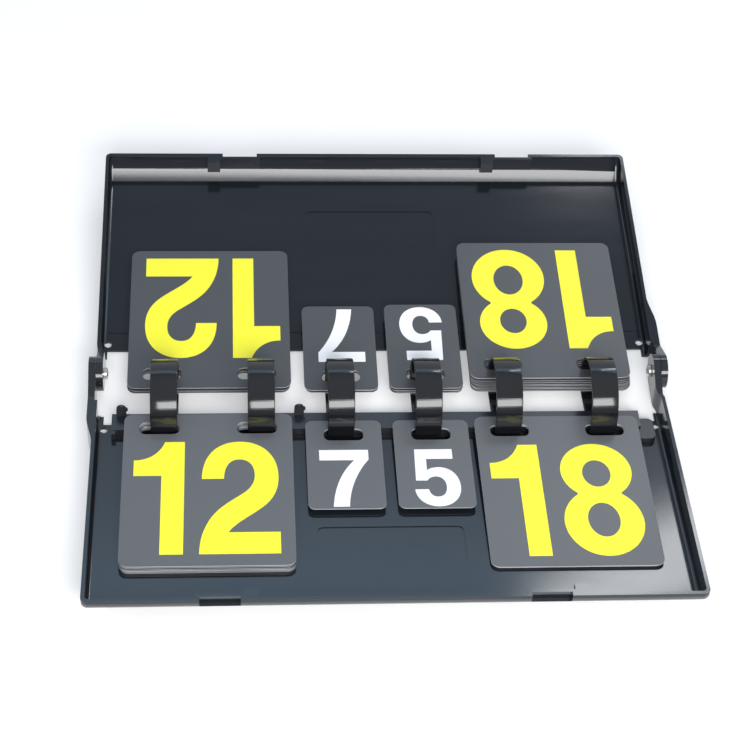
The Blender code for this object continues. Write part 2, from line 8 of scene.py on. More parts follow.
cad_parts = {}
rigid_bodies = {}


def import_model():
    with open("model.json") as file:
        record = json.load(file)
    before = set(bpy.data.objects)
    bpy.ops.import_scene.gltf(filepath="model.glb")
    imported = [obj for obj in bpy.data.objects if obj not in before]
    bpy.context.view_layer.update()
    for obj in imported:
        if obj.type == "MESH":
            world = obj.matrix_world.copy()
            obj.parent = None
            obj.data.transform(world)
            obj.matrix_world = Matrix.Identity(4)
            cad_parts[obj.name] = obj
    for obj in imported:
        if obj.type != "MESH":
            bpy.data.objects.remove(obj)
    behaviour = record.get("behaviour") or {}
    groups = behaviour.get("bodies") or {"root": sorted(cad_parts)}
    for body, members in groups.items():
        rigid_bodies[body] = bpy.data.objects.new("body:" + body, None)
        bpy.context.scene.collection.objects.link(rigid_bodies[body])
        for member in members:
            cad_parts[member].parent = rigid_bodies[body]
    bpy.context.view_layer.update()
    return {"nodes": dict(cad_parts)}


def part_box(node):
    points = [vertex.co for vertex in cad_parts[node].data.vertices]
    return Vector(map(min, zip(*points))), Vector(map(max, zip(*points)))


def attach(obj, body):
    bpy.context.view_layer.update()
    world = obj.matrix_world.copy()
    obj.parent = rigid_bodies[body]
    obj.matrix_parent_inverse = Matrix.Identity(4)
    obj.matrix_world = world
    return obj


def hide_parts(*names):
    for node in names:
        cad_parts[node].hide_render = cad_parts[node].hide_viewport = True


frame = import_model()

MM = 0.001
WELD = 0.001 * MM

# Camera of the photograph, fitted to the case rims, card edges and ring tops
CAMERA_PLACE = (-97.3 * MM, -886.6 * MM, 988.2 * MM)
CAMERA_TURN = (0.739, -0.049, -0.052)
CAMERA_LENS = 94.9
SENSOR = 36.0
CAMERA_NEAR = 0.05
CAMERA_FAR = 50

# Cards, as in the frame: slope of their planes, their slots, and the ring axis they swing on
CARD_LEAN = {"front": radians(2.3), "rear": radians(1.2)}
CARD_CORNER = {"large": 5.5 * MM, "small": 4.5 * MM}
SLOT_START = 7.4 * MM
SLOT_DEPTH = 10.2 * MM
SLOT_WIDTH = 25.8 * MM
SLOT_CORNER = 4 * MM
SLOT_SPREAD = 31.46 * MM
AXIS_Y = -21.966 * MM
AXIS_Z = 13.049 * MM

# Rings: arch about the ring axis on a straight foot
RING_RADIUS = 26.1 * MM
RING_THICKNESS = 1.8 * MM
RING_FOOT_DROP = 9.5 * MM
RING_CORNER = 2.6 * MM
RING_EDGE = 0.55 * MM

# Loose sheets of a pack, and how far its lowest one has slid towards the rings
SHEET_THICKNESS = 0.42 * MM
SHEET_PITCH = 0.66 * MM
SHEET_SHUFFLE = 0.5 * MM
SHEET_LAG = {"rear_left": 2.4 * MM, "rear_seven": 1.0 * MM,
             "rear_five": 1.5 * MM, "rear_right": 5.6 * MM,
             "front_left": -1.6 * MM, "front_seven": 0.0,
             "front_five": 0.0, "front_right": 0.0}
FIRST_SEED = 12

# Case half, as in the frame: its lean, pivot, outer round and wall
CASE_LEAN = radians(5)
PIVOT_Z = 15.1425 * MM
PIVOT_HEIGHT = 18 * MM
HALF_WIDTH = 188.5 * MM
CASE_REACH = 200.3 * MM
OUTER_ROUND = 15.5 * MM
WALL = 2.3 * MM

# How the shells refine it: inner wall foot in mm from the round's centre, flatter outer
# round, and a front wall that stands nearer to the hinge
INNER_FOOT = ((0.0, -13.2), (2.63, -13.2), (8.0, -8.0), (13.2, 0.0))
OUTER_FLATTEN = 2.1 * MM
NEAR_PULL = 2.5 * MM
PULL_START = 150 * MM
PULL_SPAN = 30 * MM
SURE = 0.01 * MM

# Rounded edges of the moulded pieces and of the cards, and the angles that count as sharp
MOULDED_EDGE = 0.3 * MM
CARD_CUT = 0.12 * MM
SHELL_SHARP = radians(26)
PIECE_SHARP = radians(35)
SOFTEN_OVER = radians(40)

# Printed numbers. Each has a shift to its reader's right from the card's middle, and a
# start from the hinge edge
LARGE_NUMERAL = 93.2 * MM
SMALL_NUMERAL = 48.2 * MM
PRINT_LIFT = 0.03 * MM
PRINT_THICKNESS = 0.05 * MM
NUMBER_PLACE = {"front_left": (-1.0 * MM, 24.7 * MM), "rear_left": (-1.9 * MM, 26.3 * MM),
                "front_seven": (-0.65 * MM, 26.1 * MM), "rear_seven": (-1.4 * MM, 24.9 * MM),
                "front_five": (1.1 * MM, 26.1 * MM), "rear_five": (0.3 * MM, 24.9 * MM),
                "front_right": (-0.7 * MM, 25.5 * MM), "rear_right": (-1.0 * MM, 26.3 * MM)}
NUMBER_GAP = {"12": 9.8 * MM, "18": 10.8 * MM}
COLUMN_NUMBERS = {"left": "12", "seven": "7", "five": "5", "right": "18"}
COLUMN_SIZES = {"left": "large", "seven": "small", "five": "small", "right": "large"}
NUMERAL_YELLOW = (0.97, 0.93, 0.02)
NUMERAL_WHITE = (0.93, 0.94, 0.95)

# Studio: the floor, its lift to white for the eye and for gloss, and the dome's colours
# by height, all round and at the back
FLOOR_SIZE = 12
FLOOR_DROP = 0.2 * MM
FLOOR_COLOUR = (0.84, 0.84, 0.835)
FLOOR_LIFT = 0.25
SKY_TOP = 2.5
EVEN_SKY = ((0.0, (0.3, 0.31, 0.33)), (0.2, (0.35, 0.36, 0.38)), (0.3, (0.55, 0.56, 0.58)),
            (0.6, (0.52, 0.52, 0.54)), (0.8, (0.56, 0.57, 0.6)), (1.0, (0.62, 0.64, 0.67)))
BACK_SKY = ((0.0, (0.7, 0.7, 0.7)), (0.6, (0.7, 0.75, 0.84)), (0.65, (0.9, 1.1, 1.35)),
            (0.7, (1.3, 1.85, 2.45)), (0.745, (1.2, 1.5, 1.9)), (0.775, (0.36, 0.4, 0.5)),
            (0.83, (0.36, 0.4, 0.5)), (0.87, (0.56, 0.57, 0.6)), (1.0, (0.62, 0.64, 0.67)))
BACK_FROM = 0.2
BACK_FULL = 0.45


def linked(name, data):
    """New object in the scene for a mesh, curve, lamp or camera."""
    item = bpy.data.objects.new(name, data)
    bpy.context.scene.collection.objects.link(item)
    return item


def plain_mesh(holder):
    """Mesh that an object's curve or modifiers give; the object and its own data go."""
    name = holder.name
    own = holder.data
    bpy.context.view_layer.update()
    graph = bpy.context.evaluated_depsgraph_get()
    mesh = bpy.data.meshes.new_from_object(holder.evaluated_get(graph))
    bpy.data.objects.remove(holder, do_unlink=True)
    bpy.data.batch_remove([own])
    mesh.name = name
    return mesh


class Builder:
    """Places nodes in one tree: a value that is a socket is linked, any other is set."""

    def __init__(self, tree, group=False):
        self.nodes = tree.nodes
        self.links = tree.links
        if group:
            self.given = tree.nodes.new("NodeGroupInput").outputs
            self.result = tree.nodes.new("NodeGroupOutput").inputs

    def feed(self, socket, value):
        if isinstance(value, bpy.types.NodeSocket):
            self.links.new(value, socket)
        else:
            socket.default_value = value

    def add(self, kind, settings=None, **values):
        """New node with its settings, and with values for the inputs of these names."""
        node = self.nodes.new(kind)
        for name, value in (settings or {}).items():
            setattr(node, name, value)
        for name, value in values.items():
            self.feed(node.inputs[name.replace("_", " ")], value)
        return node

    def first(self, kind, settings=None, **values):
        """First output of such a node."""
        return self.add(kind, settings, **values).outputs[0]

    def math(self, operation, *values):
        node = self.add("ShaderNodeMath", {"operation": operation})
        for socket, value in zip(node.inputs, values):
            self.feed(socket, value)
        return node.outputs[0]

    def vector(self, x=0.0, y=0.0, z=0.0):
        return self.first("ShaderNodeCombineXYZ", X=x, Y=y, Z=z)

    def moved(self, shape, x=0.0, y=0.0, z=0.0):
        move = self.vector(x, y, z)
        return self.first("GeometryNodeTransform", Geometry=shape, Translation=move)

    def joined(self, *shapes):
        node = self.add("GeometryNodeJoinGeometry")
        for shape in shapes:
            self.links.new(shape, node.inputs[0])
        return node.outputs[0]

    def filleted(self, curve, radius, steps):
        return self.first("GeometryNodeFilletCurve", {"mode": "POLY"}, Curve=curve,
                          Radius=radius, Count=steps, Limit_Radius=True)

    def rounded_rectangle(self, width, depth, corner, steps):
        """Flat outline about the origin; corner is the radius of its corners."""
        sides = self.first("GeometryNodeCurvePrimitiveQuadrilateral", Width=width, Height=depth)
        return self.filleted(sides, corner, steps)


# Materials

def new_material(name):
    """Builder for a new material's tree, with the material and its shader."""
    material = bpy.data.materials.new(name)
    material.use_nodes = True
    make = Builder(material.node_tree)
    return make, material, make.nodes["Principled BSDF"]


def surface_group(name):
    """Shared finish of moulded plastic: fine orange peel, long faint mould flow
    and dust specks, given as a bump normal, a roughness and a colour."""
    group = bpy.data.node_groups.new(name, "ShaderNodeTree")
    for label, kind, value in (
            ("Colour", "NodeSocketColor", (0.02, 0.02, 0.02, 1)),
            ("Mottle", "NodeSocketColor", (0.03, 0.03, 0.03, 1)),
            ("Grain", "NodeSocketFloat", 900.0),
            ("Peel", "NodeSocketFloat", 0.1),
            ("Roughness", "NodeSocketFloat", 0.3),
            ("Smear", "NodeSocketFloat", 0.1),
            ("Dust", "NodeSocketFloat", 0.02)):
        socket = group.interface.new_socket(label, in_out="INPUT", socket_type=kind)
        socket.default_value = value
    for label, kind in (("Colour", "NodeSocketColor"), ("Roughness", "NodeSocketFloat"),
                        ("Normal", "NodeSocketVector")):
        group.interface.new_socket(label, in_out="OUTPUT", socket_type=kind)
    make = Builder(group, group=True)
    given = make.given
    place = make.add("ShaderNodeTexCoord").outputs["Object"]

    peel = make.add("ShaderNodeTexNoise", Vector=place, Scale=given["Grain"], Detail=3)
    bump = make.add("ShaderNodeBump", Distance=0.1 * MM, Strength=given["Peel"],
                    Height=peel.outputs["Fac"])
    make.feed(make.result["Normal"], bump.outputs["Normal"])

    flow = make.first("ShaderNodeMapping", Vector=place, Scale=(1, 5, 1))
    smear = make.add("ShaderNodeTexNoise", Vector=flow, Scale=9, Detail=5, Roughness=0.6)
    smear = smear.outputs["Fac"]
    centred = make.math("SUBTRACT", smear, 0.5)
    spread = make.math("MULTIPLY_ADD", centred, given["Smear"], given["Roughness"])
    make.feed(make.result["Roughness"], spread)

    specks = make.add("ShaderNodeTexVoronoi", Vector=place, Scale=420)
    near = make.math("LESS_THAN", specks.outputs["Distance"], given["Dust"])
    mottled = make.add("ShaderNodeMix", {"data_type": "RGBA"}, Factor=smear,
                       A=given["Colour"], B=given["Mottle"])
    dusted = make.add("ShaderNodeMix", {"data_type": "RGBA"}, Factor=near,
                      A=mottled.outputs["Result"], B=(0.16, 0.17, 0.18, 1))
    make.feed(make.result["Colour"], dusted.outputs["Result"])
    return group


def moulded(name, colour, mottle, roughness, smear, peel, grain, dust=0.0):
    """Material of one moulded or sheet plastic, by way of the shared finish."""
    make, material, shader = new_material(name)
    finish = make.add("ShaderNodeGroup", {"node_tree": SURFACE}, Colour=(*colour, 1),
                      Mottle=(*mottle, 1), Grain=grain, Peel=peel, Roughness=roughness,
                      Smear=smear, Dust=dust).outputs
    make.feed(shader.inputs["Base Color"], finish["Colour"])
    make.feed(shader.inputs["Roughness"], finish["Roughness"])
    make.feed(shader.inputs["Normal"], finish["Normal"])
    return material


# Numerals, drawn in units of their own height, with x from their left side

def curve_points(start, first, second, end, steps):
    """Points along a cubic curve, without its start."""
    points = []
    for index in range(1, steps + 1):
        t = index / steps
        s = 1 - t
        shares = (s**3, 3 * s * s * t, 3 * s * t * t, t**3)
        points.append(tuple(sum(share * corner[axis] for share, corner
                                in zip(shares, (start, first, second, end)))
                            for axis in (0, 1)))
    return points


def outline(*parts, steps=14):
    """Closed outline from points and curves; a curve is (control, control, end)."""
    points = []
    for part in parts:
        if isinstance(part[0], tuple):
            points += curve_points(points[-1], *part, steps)
        else:
            points.append(part)
    return points


def ellipse(centre, half_width, half_height, steps=48):
    points = []
    for index in range(steps):
        angle = 2 * pi * index / steps
        points.append((centre[0] + half_width * cos(angle), centre[1] + half_height * sin(angle)))
    return points


def numeral_one():
    return 0.345, [outline(
        (0.345, 0.0), (0.345, 1.0), (0.21, 1.0),
        ((0.172, 0.89), (0.1, 0.832), (0.0, 0.832)),
        (0.0, 0.69), (0.19, 0.69), (0.19, 0.0))]


def numeral_two():
    return 0.538, [outline(
        (0.538, 0.0), (0.538, 0.185), (0.193, 0.185),
        ((0.235, 0.262), (0.345, 0.33), (0.415, 0.395)),
        ((0.492, 0.465), (0.533, 0.55), (0.533, 0.675)),
        ((0.533, 0.874), (0.425, 0.998), (0.272, 0.998)),
        ((0.115, 0.998), (0.013, 0.874), (0.013, 0.658)),
        (0.163, 0.658),
        ((0.165, 0.768), (0.2, 0.834), (0.268, 0.834)),
        ((0.335, 0.834), (0.372, 0.775), (0.372, 0.69)),
        ((0.372, 0.61), (0.335, 0.56), (0.285, 0.52)),
        ((0.18, 0.437), (0.115, 0.388), (0.065, 0.29)),
        ((0.02, 0.2), (0.002, 0.11), (0.0, 0.0)))]


def numeral_five():
    return 0.61, [outline(
        (0.0, 0.288),
        ((0.011, 0.11), (0.134, -0.01), (0.305, -0.01)),
        ((0.483, -0.01), (0.61, 0.125), (0.61, 0.33)),
        ((0.61, 0.535), (0.494, 0.676), (0.335, 0.676)),
        ((0.268, 0.676), (0.22, 0.66), (0.18, 0.622)),
        (0.18, 0.826), (0.537, 0.826), (0.537, 1.0), (0.032, 1.0), (0.021, 0.442), (0.174, 0.442),
        ((0.195, 0.485), (0.236, 0.512), (0.292, 0.512)),
        ((0.37, 0.512), (0.424, 0.44), (0.424, 0.335)),
        ((0.424, 0.225), (0.376, 0.158), (0.3, 0.158)),
        ((0.231, 0.158), (0.193, 0.21), (0.183, 0.288)))]


def numeral_seven():
    return 0.656, [outline(
        (0.16, 0.0), (0.372, 0.0),
        ((0.378, 0.25), (0.47, 0.58), (0.656, 0.825)),
        (0.656, 1.0), (0.0, 1.0), (0.0, 0.815), (0.465, 0.815),
        ((0.3, 0.63), (0.186, 0.36), (0.16, 0.0)))]


def eight_side(lower, waist, upper, sign, steps=28):
    """One side of the 8's outer edge, from its foot to its top."""
    points = []
    for centre_y, half_width, half_height, start, end in (
            (lower[0], lower[1], lower[2], -pi / 2, waist[0]),
            (upper[0], upper[1], upper[2], waist[1], pi / 2)):
        for index in range(steps + 1):
            angle = start + (end - start) * index / steps
            points.append((sign * half_width * cos(angle), centre_y + half_height * sin(angle)))
    return points


def numeral_eight():
    lower = (0.291, 0.272, 0.297)
    upper = (0.75, 0.248, 0.252)
    middle = 0.271
    waist_half = 0.152
    turn_low = atan2(sqrt(1 - (waist_half / lower[1]) ** 2), waist_half / lower[1])
    turn_high = -atan2(sqrt(1 - (waist_half / upper[1]) ** 2), waist_half / upper[1])
    right = eight_side(lower, (turn_low, turn_high), upper, 1)
    left = eight_side(lower, (turn_low, turn_high), upper, -1)
    outer = right + left[::-1][1:-1]
    outer = [(middle + x, y) for x, y in outer]
    holes = [ellipse((middle, 0.727), 0.098, 0.122), ellipse((middle, 0.31), 0.11, 0.15)]
    return 2 * middle, [outer, *holes]


NUMERALS = {"1": numeral_one, "2": numeral_two, "5": numeral_five, "7": numeral_seven,
            "8": numeral_eight}


def number_outlines(text, height, gap):
    """Outlines of a number in metres, centred on x, its foot at y 0."""
    shapes = []
    reach = 0.0
    for index, letter in enumerate(text):
        width, outlines = NUMERALS[letter]()
        if index:
            reach += gap
        shapes.append((reach, outlines))
        reach += width * height
    placed = []
    for start, outlines in shapes:
        for points in outlines:
            placed.append([(start + x * height - reach / 2, y * height) for x, y in points])
    return placed


def printed_number(name, text, height, gap, colour):
    """Thin printed number as a mesh in the card plane, its foot on y 0."""
    drawn = bpy.data.curves.new(name, "CURVE")
    drawn.dimensions = "2D"
    drawn.fill_mode = "BOTH"
    drawn.extrude = PRINT_THICKNESS / 2
    for points in number_outlines(text, height, gap):
        spline = drawn.splines.new("POLY")
        spline.points.add(len(points) - 1)
        for point, (x, y) in zip(spline.points, points):
            point.co = (x, y, 0, 1)
        spline.use_cyclic_u = True
    mesh = plain_mesh(linked(name, drawn))
    mesh.materials.clear()
    mesh.materials.append(colour)
    return mesh


def card_plane(side):
    """Matrix from a card's own plane (x right for its reader, y towards the
    hinge edge, z up) to the frame, with its origin on the ring axis."""
    seat = Matrix.Translation((0, AXIS_Y, AXIS_Z))
    if side == "front":
        return seat @ Matrix.Rotation(-CARD_LEAN[side], 4, "X")
    return seat @ Matrix.Rotation(CARD_LEAN[side], 4, "X") @ Matrix.Rotation(pi, 4, "Z")


def card_reach(node, side):
    """Lowest and highest x, y and z of a card or pack in its own plane."""
    back = card_plane(side).inverted()
    corners = [back @ vertex.co for vertex in frame["nodes"][node].data.vertices]
    return [(min(values), max(values)) for values in zip(*corners)]


def print_numbers():
    """Puts a printed number on the top card of every column, front and rear."""
    for column, text in COLUMN_NUMBERS.items():
        large = COLUMN_SIZES[column] == "large"
        height = LARGE_NUMERAL if large else SMALL_NUMERAL
        colour = YELLOW if large else WHITE
        gap = NUMBER_GAP.get(text, 0)
        for side in ("front", "rear"):
            name = "%s_number_%s" % (side, column)
            xs, ys, zs = card_reach("%s_card_%s" % (side, column), side)
            shift, start = NUMBER_PLACE[side + "_" + column]
            middle = (xs[0] + xs[1]) / 2 + shift
            foot = ys[1] - start - height
            lift = zs[1] + PRINT_LIFT + PRINT_THICKNESS / 2
            mesh = printed_number(name, text, height, gap, colour)
            mesh.transform(card_plane(side) @ Matrix.Translation((middle, foot, lift)))
            item = linked(name, mesh)
            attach(item, "flip_" + column if side == "front" else "rear_" + column)


# Rings and packs, made by geometry nodes

def geometry_tree(name, sizes):
    """Empty tree with an input for each size; a whole number makes a whole-number input."""
    tree = bpy.data.node_groups.new(name, "GeometryNodeTree")
    for label, value in sizes:
        kind = "NodeSocketInt" if isinstance(value, int) else "NodeSocketFloat"
        socket = tree.interface.new_socket(label, in_out="INPUT", socket_type=kind)
        socket.default_value = value
    tree.interface.new_socket("Geometry", in_out="OUTPUT", socket_type="NodeSocketGeometry")
    return tree


def mesh_made_by(tree, name, sizes):
    """Plain mesh that a tree makes from the given sizes."""
    holder = linked(name, bpy.data.meshes.new(name))
    maker = holder.modifiers.new("maker", "NODES")
    maker.node_group = tree
    for socket in tree.interface.items_tree:
        if socket.in_out == "INPUT" and socket.name in sizes:
            maker[socket.identifier] = sizes[socket.name]
    return plain_mesh(holder)


def ring_tree():
    """Strip bent to an arch on a straight foot, in the XY plane about the ring axis."""
    tree = geometry_tree("ring_strip", (
        ("Radius", RING_RADIUS), ("Foot Drop", RING_FOOT_DROP), ("Corner", RING_CORNER),
        ("Width", 17.4 * MM), ("Thickness", RING_THICKNESS), ("Edge", RING_EDGE)))
    make = Builder(tree, group=True)
    given = make.given
    turn = make.math("ARCSINE", make.math("DIVIDE", given["Foot Drop"], given["Radius"]))
    arch = make.first("GeometryNodeCurveArc", {"mode": "RADIUS"}, Resolution=84,
                      Radius=given["Radius"], Start_Angle=make.math("MULTIPLY", turn, -1.0),
                      Sweep_Angle=make.math("MULTIPLY_ADD", turn, 2.0, pi))
    loop = make.first("GeometryNodeSetSplineCyclic", Geometry=arch, Cyclic=True)
    path = make.filleted(loop, given["Corner"], 3)
    section = make.rounded_rectangle(given["Thickness"], given["Width"], given["Edge"], 3)
    strip = make.first("GeometryNodeCurveToMesh", Curve=path, Profile_Curve=section)
    whole = make.first("GeometryNodeRealizeInstances", Geometry=strip)
    done = make.first("GeometryNodeSetMaterial", Geometry=whole, Material=RING)
    make.feed(make.result[0], done)
    return tree


def point_outwards(mesh):
    """Merges a mesh's doubled points and turns its faces outwards."""
    shape = bmesh.new()
    shape.from_mesh(mesh)
    bmesh.ops.remove_doubles(shape, verts=shape.verts[:], dist=WELD)
    bmesh.ops.recalc_face_normals(shape, faces=shape.faces[:])
    shape.to_mesh(mesh)
    shape.free()


def place_rings():
    """Smooth strips in place of the frame's faceted rings, all from one tree."""
    tree = ring_tree()
    stand = Matrix.Translation((0, AXIS_Y, AXIS_Z)) @ Matrix.Rotation(-CASE_LEAN, 4, "X")
    # The tree's x runs along the cards, its y up and its z along the rings' axis
    lay = Matrix(((0, 0, 1, 0), (1, 0, 0, 0), (0, 1, 0, 0), (0, 0, 0, 1)))
    for number in range(1, 7):
        node = "ring_%d" % number
        name = "ring_strip_%d" % number
        low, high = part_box(node)
        mesh = mesh_made_by(tree, name, {
            "Radius": RING_RADIUS, "Foot Drop": RING_FOOT_DROP, "Corner": RING_CORNER,
            "Width": high.x - low.x, "Thickness": RING_THICKNESS, "Edge": RING_EDGE})
        mesh.transform(Matrix.Translation(((high.x + low.x) / 2, 0, 0)) @ stand @ lay)
        point_outwards(mesh)
        mesh.shade_smooth()
        item = linked(name, mesh)
        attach(item, "board")
        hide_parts(node)


def sheet_tree():
    """Stack of loose punched cards; its hinge edge is on y 0 and its underside on z 0."""
    tree = geometry_tree("card_stack", (
        ("Width", 100 * MM), ("Length", 120 * MM), ("Corner", CARD_CORNER["large"]),
        ("Thickness", SHEET_THICKNESS), ("Pitch", SHEET_PITCH), ("Count", 5),
        ("Slot Width", SLOT_WIDTH), ("Slot Depth", SLOT_DEPTH), ("Slot Corner", SLOT_CORNER),
        ("Slot Start", SLOT_START), ("Slot Spread", 0.0), ("Slots", 1),
        ("Shuffle", SHEET_SHUFFLE), ("Lag", 0.0), ("Seed", 1)))
    make = Builder(tree, group=True)
    given = make.given

    # One card: its rim with one slot or two, filled, thickened and closed underneath
    rim = make.rounded_rectangle(given["Width"], given["Length"], given["Corner"], 6)
    rim = make.moved(rim, y=make.math("MULTIPLY", given["Length"], -0.5))
    slot = make.rounded_rectangle(given["Slot Width"], given["Slot Depth"],
                                  given["Slot Corner"], 6)
    slot_y = make.math("MULTIPLY_ADD", given["Slot Depth"], -0.5,
                       make.math("MULTIPLY", given["Slot Start"], -1.0))
    right = make.moved(slot, given["Slot Spread"], slot_y)
    left = make.moved(slot, make.math("MULTIPLY", given["Slot Spread"], -1.0), slot_y)
    second = make.add("GeometryNodeSwitch", {"input_type": "GEOMETRY"},
                      Switch=make.math("GREATER_THAN", given["Slots"], 1.5))
    make.feed(second.inputs["True"], left)
    flat = make.first("GeometryNodeFillCurve",
                      Curve=make.joined(rim, right, second.outputs[0]))
    pushed = make.add("GeometryNodeExtrudeMesh", Mesh=flat, Offset=make.vector(z=1.0),
                      Offset_Scale=given["Thickness"], Individual=False).outputs
    marked = make.first("GeometryNodeStoreNamedAttribute",
                        {"data_type": "BOOLEAN", "domain": "FACE"},
                        Geometry=pushed["Mesh"], Name="cut_edge", Value=pushed["Side"])
    under = make.first("GeometryNodeFlipFaces", Mesh=flat)
    card = make.first("GeometryNodeMergeByDistance", Geometry=make.joined(marked, under),
                      Distance=WELD)

    # Where the cards lie: one over the other, the lower ones slid along, each a little off
    line = make.first("GeometryNodeMeshLine", Count=given["Count"],
                      Offset=make.vector(z=given["Pitch"]))
    index = make.first("GeometryNodeInputIndex")
    last = make.math("MAXIMUM", make.math("SUBTRACT", given["Count"], 1.0), 1.0)
    share = make.math("POWER", make.math("DIVIDE", index, last), 3.0)
    slid = make.math("MULTIPLY", make.math("SUBTRACT", 1.0, share), given["Lag"])
    back = make.math("MULTIPLY", given["Shuffle"], -1.0)
    loose = make.first("FunctionNodeRandomValue", {"data_type": "FLOAT_VECTOR"},
                       Min=make.vector(back, back),
                       Max=make.vector(given["Shuffle"], given["Shuffle"]),
                       Seed=given["Seed"])
    drift = make.add("ShaderNodeVectorMath", {"operation": "ADD"})
    make.feed(drift.inputs[0], loose)
    make.feed(drift.inputs[1], make.vector(y=slid))
    spots = make.first("GeometryNodeSetPosition", Geometry=line, Offset=drift.outputs[0])
    stack = make.first("GeometryNodeInstanceOnPoints", Points=spots, Instance=card)

    whole = make.first("GeometryNodeRealizeInstances", Geometry=stack)
    faced = make.first("GeometryNodeSetMaterial", Geometry=whole, Material=CARD)
    edges = make.first("GeometryNodeInputNamedAttribute", {"data_type": "BOOLEAN"},
                       Name="cut_edge")
    done = make.first("GeometryNodeSetMaterial", Geometry=faced, Selection=edges,
                      Material=CARD_EDGE)
    make.feed(make.result[0], done)
    return tree


def place_packs():
    """Stacks of loose sheets in place of the frame's solid packs."""
    tree = sheet_tree()
    seed = FIRST_SEED
    for column, size in COLUMN_SIZES.items():
        for side in ("front", "rear"):
            place = side + "_" + column
            node = "%s_pack_%s" % (side, column)
            large = size == "large"
            xs, ys, zs = card_reach(node, side)
            count = max(1, round((zs[1] - zs[0]) / SHEET_PITCH))
            pitch = (zs[1] - zs[0]) / count
            mesh = mesh_made_by(tree, place + "_sheets", {
                "Width": xs[1] - xs[0] - 2 * SHEET_SHUFFLE,
                "Length": ys[1] - ys[0] - 2 * SHEET_SHUFFLE,
                "Corner": CARD_CORNER[size], "Thickness": SHEET_THICKNESS, "Pitch": pitch,
                "Count": count, "Slot Width": SLOT_WIDTH, "Slot Depth": SLOT_DEPTH,
                "Slot Corner": SLOT_CORNER, "Slot Start": SLOT_START - SHEET_SHUFFLE,
                "Slot Spread": SLOT_SPREAD if large else 0.0, "Slots": 2 if large else 1,
                "Shuffle": SHEET_SHUFFLE, "Lag": SHEET_LAG[place], "Seed": seed})
            seat = Matrix.Translation(((xs[0] + xs[1]) / 2, ys[1] - SHEET_SHUFFLE,
                                       zs[0] + (pitch - SHEET_THICKNESS) / 2))
            mesh.transform(card_plane(side) @ seat)
            item = linked(place + "_sheets", mesh)
            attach(item, "board" if side == "front" else "rear_" + column)
            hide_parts(node)
            seed += 1


# Case shells with a finer wall foot

def half_frame(side):
    """Matrix of a case half's own frame: y out from the hinge, z up from its outer skin."""
    turn = pi if side == "front" else 0.0
    return (Matrix.Translation((0, 0, PIVOT_Z))
            @ Euler((CASE_LEAN, 0, turn)).to_matrix().to_4x4()
            @ Matrix.Translation((0, 0, -PIVOT_HEIGHT)))


def foot_radius(turn):
    """Distance from the round's centre to the refined wall foot, at an angle from the
    floor side: where the ray at that angle crosses one of the foot's straight stretches."""
    for (y_a, z_a), (y_b, z_b) in zip(INNER_FOOT, INNER_FOOT[1:]):
        along_y = y_b - y_a
        along_z = z_b - z_a
        under = along_y * cos(turn) + along_z * sin(turn)
        if abs(under) < 1e-9:
            continue
        share = -(y_a * cos(turn) + z_a * sin(turn)) / under
        if -1e-6 <= share <= 1 + 1e-6:
            return hypot(y_a + along_y * share, z_a + along_z * share) * MM
    return OUTER_ROUND - WALL


def refined(point, pull):
    """New place of one shell point, in its half's own frame."""
    y = point.y - (CASE_REACH - OUTER_ROUND)
    z = point.z - OUTER_ROUND
    if y > SURE and z < -SURE:
        reach = hypot(y, z)
        turn = atan2(y, -z)
        end_wall = abs(point.x) > HALF_WIDTH - WALL + 5 * SURE
        if end_wall or reach > OUTER_ROUND - WALL / 2:
            scale = 1 - OUTER_FLATTEN / OUTER_ROUND * sin(2 * turn) ** 2
        else:
            scale = foot_radius(turn) / (OUTER_ROUND - WALL)
        y *= scale
        z *= scale
    y += CASE_REACH - OUTER_ROUND
    share = min(max((y - PULL_START) / PULL_SPAN, 0.0), 1.0)
    eased = share * share * (3 - 2 * share)
    return Vector((point.x, y - pull * eased, z + OUTER_ROUND))


def soften(item, width):
    """Small rounded edges, as a mould leaves them."""
    soft = item.modifiers.new("soft_edges", "BEVEL")
    soft.width = width
    soft.segments = 2
    soft.limit_method = "ANGLE"
    soft.angle_limit = SOFTEN_OVER
    soft.harden_normals = True


def place_shells():
    """Finer copies of the two case halves, in place of the frame's own."""
    for side, body, pull in (("front", "board", NEAR_PULL), ("rear", "lid", 0.0)):
        node = side + "_case"
        mesh = frame["nodes"][node].data.copy()
        mesh.name = side + "_shell"
        seat = half_frame(side)
        back = seat.inverted()
        shape = bmesh.new()
        shape.from_mesh(mesh)
        bmesh.ops.remove_doubles(shape, verts=shape.verts[:], dist=WELD)
        for vertex in shape.verts:
            vertex.co = seat @ refined(back @ vertex.co, pull)
        shape.normal_update()
        bmesh.ops.dissolve_limit(shape, angle_limit=radians(0.5), verts=shape.verts[:],
                                 edges=shape.edges[:])
        shape.to_mesh(mesh)
        shape.free()
        mesh.materials.clear()
        mesh.materials.append(CASE)
        mesh.shade_smooth()
        mesh.set_sharp_from_angle(angle=SHELL_SHARP)
        item = linked(side + "_shell", mesh)
        soften(item, MOULDED_EDGE)
        flats = item.modifiers.new("flat_faces_stay_flat", "WEIGHTED_NORMAL")
        flats.keep_sharp = True
        flats.weight = 100
        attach(item, body)
        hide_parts(node)


def rim_faces(mesh, up, rim_slot):
    """Gives the faces that stand across the sheet their own material slot."""
    for face in mesh.polygons:
        if abs(face.normal.dot(up)) < 0.5:
            face.material_index = rim_slot


